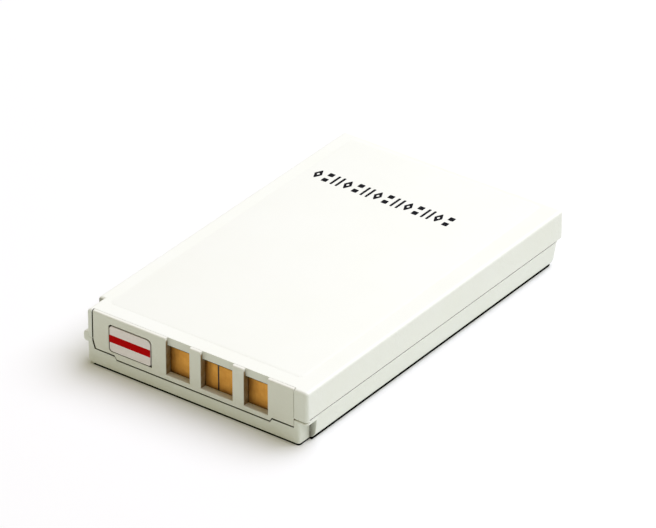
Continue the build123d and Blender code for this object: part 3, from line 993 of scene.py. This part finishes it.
@dataclass
class PrintedTop:
    """Film on the top face and the inkjet row on it."""

    film_radius: float = 0.8
    film_ramp: float = 0.3
    mark_size: Point = (1.15, 2.25)
    stroke: float = 0.34
    block: float = 0.8
    pitch: float = 1.557
    count: int = 14
    rounding: float = 0.09
    outline_step: float = 0.07
    bleed: float = 0.03
    bleed_cloud: float = 0.35
    drift: float = 0.04
    merge: float = 0.001
    seed: int = 7

    def build(self) -> None:
        """Makes the film, then the row on it."""
        low, high = box_of("top_film")
        middle = ((low.x + high.x) / 2, (low.y + high.y) / 2)
        outline = rounded_outline(middle, (high.x - low.x, high.y - low.y), (self.film_radius,) * 4)
        sheet = thin_sheet(outline, Facing.UP, low.z, high.z, 0.0, self.film_ramp)
        film = link_mesh("laminated_film", sheet, FILM)
        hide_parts("top_film")
        self.row()

    def solid_tree(self) -> Tree:
        """Node group that turns a flat closed curve into a closed layer of ink with a bled outline.

        Returns:
            The group, with inputs Outline, Thickness, Bleed and Seed.
        """
        tree = bpy.data.node_groups.new("Ink layer", "GeometryNodeTree")
        face = tree.interface
        face.new_socket("Outline", in_out="INPUT", socket_type="NodeSocketGeometry")
        for name in ("Thickness", "Bleed", "Seed"):
            face.new_socket(name, in_out="INPUT", socket_type="NodeSocketFloat")
        face.new_socket("Layer", in_out="OUTPUT", socket_type="NodeSocketGeometry")
        given = add_node(tree, "NodeGroupInput").outputs
        steps = {"mode": "LENGTH", "Length": self.outline_step * MM}
        fine = add_node(tree, "GeometryNodeResampleCurve", steps, {"Curve": given["Outline"]}).outputs[0]
        cloud = {"noise_dimensions": "4D", "Scale": cells(self.bleed_cloud), "Detail": 1.0}
        offset = add_node(tree, "ShaderNodeTexNoise", cloud, {"W": given["Seed"]}).outputs["Color"]
        for operation, value in (("SUBTRACT", (0.5, 0.5, 0.5)), ("MULTIPLY", (2.0, 2.0, 0.0))):
            flat = {"operation": operation, 1: value}
            offset = add_node(tree, "ShaderNodeVectorMath", flat, {0: offset}).outputs[0]
        reach = {0: offset, "Scale": given["Bleed"]}
        offset = add_node(tree, "ShaderNodeVectorMath", {"operation": "SCALE"}, reach).outputs[0]
        moved = {"Geometry": fine, "Offset": offset}
        bled = add_node(tree, "GeometryNodeSetPosition", links=moved).outputs[0]
        filled = add_node(tree, "GeometryNodeFillCurve", {"mode": "NGONS"}, {"Curve": bled}).outputs[0]
        up = add_node(tree, "ShaderNodeCombineXYZ", links={"Z": given["Thickness"]}).outputs[0]
        lift = {"Mesh": filled, "Offset": up}
        raised = add_node(tree, "GeometryNodeExtrudeMesh", {"Individual": False}, lift).outputs[0]
        under = add_node(tree, "GeometryNodeFlipFaces", links={"Mesh": filled}).outputs[0]
        both = add_node(tree, "GeometryNodeJoinGeometry", links={"Geometry": [raised, under]}).outputs[0]
        weld = {"Distance": self.merge * MM}
        closed = add_node(tree, "GeometryNodeMergeByDistance", weld, {"Geometry": both}).outputs[0]
        add_node(tree, "NodeGroupOutput", links={"Layer": closed})
        return tree

    def row_tree(self) -> Tree:
        """Node group for the whole row: open lozenges, pairs of blocks and pairs of posts in turn.

        Returns:
            The group, with named inputs for every size.
        """
        layer = self.solid_tree()
        tree = bpy.data.node_groups.new("Inkjet row", "GeometryNodeTree")
        face = tree.interface
        face.new_socket("Geometry", in_out="INPUT", socket_type="NodeSocketGeometry")
        for name in ("Count", "Seed"):
            face.new_socket(name, in_out="INPUT", socket_type="NodeSocketInt")
        sizes = ("Pitch", "Width", "Height", "Stroke", "Block", "Rounding", "Thickness", "Bleed", "Drift")
        for name in (*sizes, "Outer", "Inner"):
            face.new_socket(name, in_out="INPUT", socket_type="NodeSocketFloat")
        face.new_socket("Start", in_out="INPUT", socket_type="NodeSocketVector")
        face.new_socket("Ink", in_out="INPUT", socket_type="NodeSocketMaterial")
        face.new_socket("Geometry", in_out="OUTPUT", socket_type="NodeSocketGeometry")
        given = add_node(tree, "NodeGroupInput").outputs
        times = {"operation": "MULTIPLY"}

        def less(whole: Any, part: Any) -> Any:
            """Whole less a part, as a socket."""
            made = {"operation": "MULTIPLY_ADD", 1: -1.0}
            return add_node(tree, "ShaderNodeMath", made, {0: part, 2: whole}).outputs[0]

        def rounded(corners: bpy.types.Node) -> Any:
            """Curve socket of a shape with its corners rounded."""
            soft = {"mode": "POLY", "Count": 4, "Limit Radius": True}
            links = {"Curve": corners.outputs[0], "Radius": given["Rounding"]}
            return add_node(tree, "GeometryNodeFilletCurve", soft, links).outputs[0]

        def outline(width: Any, height: Any) -> Any:
            """Rounded rectangle as a curve socket."""
            sides = {"Width": width, "Height": height}
            return rounded(add_node(tree, "GeometryNodeCurvePrimitiveQuadrilateral", links=sides))

        def lozenge(share: Any) -> Any:
            """Lozenge with this share of a mark's size, as a curve socket."""
            wide, half = (
                add_node(tree, "ShaderNodeMath", times, {0: size, 1: share}).outputs[0]
                for size in (width, half_height)
            )
            sides = {"Width": wide, "Bottom Height": half, "Top Height": half}
            kite = add_node(tree, "GeometryNodeCurvePrimitiveQuadrilateral", {"mode": "KITE"}, sides)
            return rounded(kite)

        def ink(curve: Any, seed: float) -> Any:
            """Layer of ink inside a curve socket."""
            links = {"Outline": curve, "Thickness": given["Thickness"], "Bleed": given["Bleed"]}
            return add_node(tree, "GeometryNodeGroup", {"node_tree": layer, "Seed": seed}, links).outputs[0]

        def repeated(stroke: Any, count: int, step: Any, axis: str) -> Any:
            """Stroke socket repeated about the middle of a mark."""
            back = {**times, 1: -(count - 1) / 2}
            half = add_node(tree, "ShaderNodeMath", back, {0: step}).outputs[0]
            start = add_node(tree, "ShaderNodeCombineXYZ", links={axis: half}).outputs[0]
            offset = add_node(tree, "ShaderNodeCombineXYZ", links={axis: step}).outputs[0]
            ends = {"Start Location": start, "Offset": offset}
            points = add_node(tree, "GeometryNodeMeshLine", {"Count": count}, ends).outputs[0]
            strokes = {"Points": points, "Instance": stroke}
            placed = add_node(tree, "GeometryNodeInstanceOnPoints", links=strokes).outputs[0]
            return add_node(tree, "GeometryNodeRealizeInstances", links={"Geometry": placed}).outputs[0]

        width, height, stroke, block = (given[name] for name in ("Width", "Height", "Stroke", "Block"))
        half_height = add_node(tree, "ShaderNodeMath", {**times, 1: 0.5}, {0: height}).outputs[0]
        rings = [lozenge(given[name]) for name in ("Outer", "Inner")]
        ring = add_node(tree, "GeometryNodeJoinGeometry", links={"Geometry": rings}).outputs[0]
        blocks = repeated(ink(outline(block, block), 2.0), 2, less(height, block), "Y")
        posts = repeated(ink(outline(stroke, height), 3.0), 2, less(width, stroke), "X")
        shapes = [
            add_node(tree, "GeometryNodeGeometryToInstance", links={"Geometry": shape}).outputs[0]
            for shape in (ink(ring, 1.0), blocks, posts)
        ]
        shapes.reverse()
        kinds = add_node(tree, "GeometryNodeJoinGeometry", links={"Geometry": shapes}).outputs[0]
        step = add_node(tree, "ShaderNodeCombineXYZ", links={"X": given["Pitch"]}).outputs[0]
        run = {"Count": given["Count"], "Start Location": given["Start"], "Offset": step}
        line = add_node(tree, "GeometryNodeMeshLine", links=run).outputs[0]
        both_ways = {"data_type": "FLOAT", 2: -1.0, 3: 1.0}
        sideways = add_node(tree, "FunctionNodeRandomValue", both_ways, {"Seed": given["Seed"]}).outputs[1]
        drift = add_node(tree, "ShaderNodeMath", times, {0: sideways, 1: given["Drift"]}).outputs[0]
        shift = add_node(tree, "ShaderNodeCombineXYZ", links={"Y": drift}).outputs[0]
        moved = {"Geometry": line, "Offset": shift}
        points = add_node(tree, "GeometryNodeSetPosition", links=moved).outputs[0]
        index = add_node(tree, "GeometryNodeInputIndex").outputs[0]
        in_turn = {"operation": "MODULO", 1: float(len(shapes))}
        turn = add_node(tree, "ShaderNodeMath", in_turn, {0: index}).outputs[0]
        marks = {"Points": points, "Instance": kinds, "Instance Index": turn}
        placed = add_node(tree, "GeometryNodeInstanceOnPoints", {"Pick Instance": True}, marks).outputs[0]
        real = add_node(tree, "GeometryNodeRealizeInstances", links={"Geometry": placed}).outputs[0]
        inked = {"Geometry": real, "Material": given["Ink"]}
        dyed = add_node(tree, "GeometryNodeSetMaterial", links=inked).outputs[0]
        add_node(tree, "NodeGroupOutput", links={"Geometry": dyed})
        return tree

    def row(self) -> None:
        """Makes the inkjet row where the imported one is, as a plain mesh."""
        low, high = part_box("ink_marks")
        width, height = self.mark_size
        start = Vector((low.x + width / 2 * MM, (low.y + high.y) / 2, low.z))
        values = {
            "Count": self.count,
            "Seed": self.seed,
            "Pitch": self.pitch * MM,
            "Width": width * MM,
            "Height": height * MM,
            "Stroke": self.stroke * MM,
            "Block": self.block * MM,
            "Outer": 1.0,
            "Inner": 1.0 - 2 * self.stroke * math.hypot(width, height) / (width * height),
            "Rounding": self.rounding * MM,
            "Thickness": high.z - low.z,
            "Bleed": self.bleed * MM,
            "Drift": self.drift * MM,
            "Start": start,
            "Ink": BLACK_INK.material(),
        }
        row = grown("inkjet_row", self.row_tree(), values, BLACK_INK)
        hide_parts("ink_marks")


def grown(name: str, tree: Tree, values: dict[str, Any], finish: Finish) -> Part:
    """Runs a geometry node group and keeps its result as a plain mesh.

    Args:
        name: Name of the piece.
        tree: The group.
        values: Value for each named input.
        finish: Finish that the group sets.

    Returns:
        The piece.
    """
    maker = put(f"{name}_maker", bpy.data.meshes.new(name))
    modifier = maker.modifiers.new("Grow", "NODES")
    modifier.node_group = tree
    for item in tree.interface.items_tree:
        if item.in_out == "INPUT" and item.name in values:
            modifier[item.identifier] = values[item.name]
    bpy.context.view_layer.update()
    mesh = bpy.data.meshes.new_from_object(maker.evaluated_get(bpy.context.evaluated_depsgraph_get()))
    bpy.data.objects.remove(maker)
    mesh.name = name
    return piece_of(name, mesh, finish)


@dataclass
class Inside:
    """Board, electronics and cell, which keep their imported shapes."""

    nodes: dict[str, Part]
    ceramics: tuple[tuple[str, str], ...] = (("chip_resistors", "#2A2C30"), ("chip_capacitors", "#A9865C"))
    tin: str = "#C9C6C0"
    bare_share: float = 0.6
    finishes: dict[str, Finish] = field(
        default_factory=lambda: {
            "contact_board": BOARD,
            "protection_chip": CHIP_RESIN,
            "switch_transistors": CHIP_RESIN,
            "thermistor": CHIP_RESIN,
            "cell_can": CAN_METAL,
            "lower_foam_pad": FOAM,
            "upper_foam_pad": FOAM,
            "terminal_gasket": GASKET,
            "negative_terminal": NICKEL,
            "terminal_strip": NICKEL,
            "thermal_cutoff": CUTOFF,
            "cutoff_strip": NICKEL,
            "can_strip": NICKEL,
            "header_card": CARD,
        }
    )

    def dress(self) -> None:
        """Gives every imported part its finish."""
        for name, colour in self.ceramics:
            low, high = box_of(name)
            half = (high.x - low.x) / 2
            middle, tinned = low.x + half, half * self.bare_share
            # Dull ceramic between bright tin ends
            self.finishes[name] = ChipCeramic(
                f"Fired ceramic of {name}", "chip_ceramic", colour, self.tin, middle, tinned
            )
        for name, finish in self.finishes.items():
            node = self.nodes[name]
            node.data.materials.clear()
            node.data.materials.append(finish.material())
            log.info("%s: %s", name, finish.name)


@dataclass
class Studio:
    """White sweep, a dark card of painted contact shadow, one soft lamp, the fill light and the camera."""

    nodes: dict[str, Part]
    eye: Vector = field(default_factory=lambda: Vector((0.346646, -0.470345, 0.355231)))
    target: Vector = field(default_factory=lambda: Vector((-0.001601, 0.002418, 0.004854)))
    lens: float = 301.83
    sensor: float = 36.0
    clip: Point = (0.05, 20.0)
    floor_size: float = 6.0
    floor_gap: float = 0.2
    card_height: float = 0.2
    card_left: float = -15.6
    card_lift: float = 0.02
    card_merge: float = 0.001
    # Colour of the painted contact shadow
    contact_shadow_colour: str = "#141414"
    floor_shown: str = "#F7F6F6"
    floor_bounce: str = "#E6ECE6"
    key_power: float = 32.0
    key_colour: str = "#ECEFFF"
    key_size: float = 1.81
    key_distance: float = 1.5
    key_heading: float = 57.0
    key_height: float = 61.0
    fill: float = 0.324
    fill_colour: str = "#FFF6C6"

    def build(self) -> None:
        """Makes the floor, the card of painted contact shadow, the lamp, the world and the camera."""
        self.floor()
        self.card()
        self.lamp()
        self.world()
        self.camera()
        bpy.context.scene.view_settings.view_transform = "Standard"

    def seen(self, tree: Tree) -> Any:
        """One for rays of the eye, of gloss and of glass, until they meet a matt surface.

        Args:
            tree: Tree of the floor or the world.

        Returns:
            Socket with one or zero.
        """
        rays = add_node(tree, "ShaderNodeLightPath").outputs
        shown = rays["Is Camera Ray"]
        for kind in ("Is Glossy Ray", "Is Transmission Ray"):
            either = {0: shown, 1: rays[kind]}
            shown = add_node(tree, "ShaderNodeMath", {"operation": "MAXIMUM"}, either).outputs[0]
        first, bounces = {"operation": "LESS_THAN", 1: 0.5}, {0: rays["Diffuse Depth"]}
        direct = add_node(tree, "ShaderNodeMath", first, bounces).outputs[0]
        return add_node(tree, "ShaderNodeMath", {"operation": "MULTIPLY"}, {0: shown, 1: direct}).outputs[0]

    def floor(self) -> None:
        """White paper sweep that keeps the shadow."""
        bm = bmesh.new()
        bmesh.ops.create_grid(bm, x_segments=1, y_segments=1, size=self.floor_size / 2)
        bmesh.ops.translate(bm, verts=bm.verts, vec=(0, 0, -self.floor_gap * MM))
        self.sheet("studio_floor", bm, "Matt white sweep", self.floor_bounce, self.floor_shown)

    def card(self) -> None:
        """Dark card on the sweep, cut to the battery's foot: a painted contact shadow that blackens the gap
        under its edges.
        """
        bm = bmesh.new()
        bm.from_mesh(self.nodes["lower_shell"].data)
        everything = [*bm.verts, *bm.edges, *bm.faces]
        height = Vector((0, 0, self.card_height * MM))
        bmesh.ops.bisect_plane(bm, geom=everything, plane_co=height, plane_no=(0, 0, 1), clear_outer=True)
        for vert in bm.verts:
            vert.co.x = max(vert.co.x, self.card_left * MM)
            vert.co.z = (self.card_lift - self.floor_gap) * MM
        bmesh.ops.dissolve_degenerate(bm, edges=bm.edges, dist=self.card_merge * MM)
        bmesh.ops.reverse_faces(bm, faces=bm.faces)
        self.sheet("shadow_card", bm, "Black contact shadow card", self.contact_shadow_colour, self.contact_shadow_colour)

    def sheet(self, name: str, bm: Shape, material: str, bounced: str, shown: str) -> None:
        """Makes one matt sheet of the studio, which isn't part of the battery.

        Args:
            name: Name of the sheet.
            bm: Its mesh. It is freed.
            material: Name of its material.
            bounced: Colour of the light that it throws on the battery.
            shown: Colour that the camera sees.
        """
        mesh = bpy.data.meshes.new(name)
        bm.to_mesh(mesh)
        bm.free()
        paper = bpy.data.materials.new(material)
        paper.use_nodes = True
        tree = paper.node_tree
        tree.nodes.clear()
        matt = add_node(tree, "ShaderNodeBsdfDiffuse", {"Color": linear(bounced)})
        if shown != bounced:
            tree.links.new(blended(tree, self.seen(tree), bounced, shown), matt.inputs["Color"])
        add_node(tree, "ShaderNodeOutputMaterial", links={"Surface": matt.outputs[0]})
        mesh.materials.append(paper)
        put(name, mesh)

    def lamp(self) -> None:
        """Large soft box behind the battery's right side."""
        heading, height = math.radians(self.key_heading), math.radians(self.key_height)
        level = math.cos(height)
        away = Vector((math.cos(heading) * level, math.sin(heading) * level, math.sin(height)))
        light = bpy.data.lights.new("key_softbox", "AREA")
        light.shape = "DISK"
        light.size = self.key_size
        light.energy = self.key_power
        light.color = linear(self.key_colour)[:3]
        lamp = put("key_softbox", light)
        lamp.location = away * self.key_distance
        lamp.rotation_euler = (-away).to_track_quat("-Z", "Y").to_euler()

    def world(self) -> None:
        """Even fill light, seen as plain white."""
        world = bpy.data.worlds.new("studio_world")
        world.use_nodes = True
        tree = world.node_tree
        tree.nodes.clear()
        shown = add_node(tree, "ShaderNodeBackground", {"Strength": 1.0, "Color": (1, 1, 1, 1)})
        lit = {"Strength": self.fill, "Color": linear(self.fill_colour)}
        fill = add_node(tree, "ShaderNodeBackground", lit)
        sources = {0: self.seen(tree), 1: fill.outputs[0], 2: shown.outputs[0]}
        both = add_node(tree, "ShaderNodeMixShader", links=sources)
        add_node(tree, "ShaderNodeOutputWorld", links={"Surface": both.outputs[0]})
        bpy.context.scene.world = world

    def camera(self) -> None:
        """Camera at the photograph's place, for a picture of 656 by 528."""
        data = bpy.data.cameras.new("camera")
        data.lens = self.lens
        data.sensor_fit = "HORIZONTAL"
        data.sensor_width = self.sensor
        data.clip_start, data.clip_end = self.clip
        camera = put("camera", data)
        camera.location = self.eye
        camera.rotation_euler = (self.target - self.eye).to_track_quat("-Z", "Y").to_euler()
        bpy.context.scene.camera = camera


def main() -> None:
    """Dresses the battery piece by piece and sets the studio up."""
    logging.basicConfig(level=logging.INFO, format="%(name)s: %(message)s")
    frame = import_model()
    nodes = frame["nodes"]
    Case(nodes).build()
    ContactEnd(nodes).build()
    PrintedTop().build()
    Inside(nodes).dress()
    Studio(nodes).build()


if __name__ == "__main__":
    main()
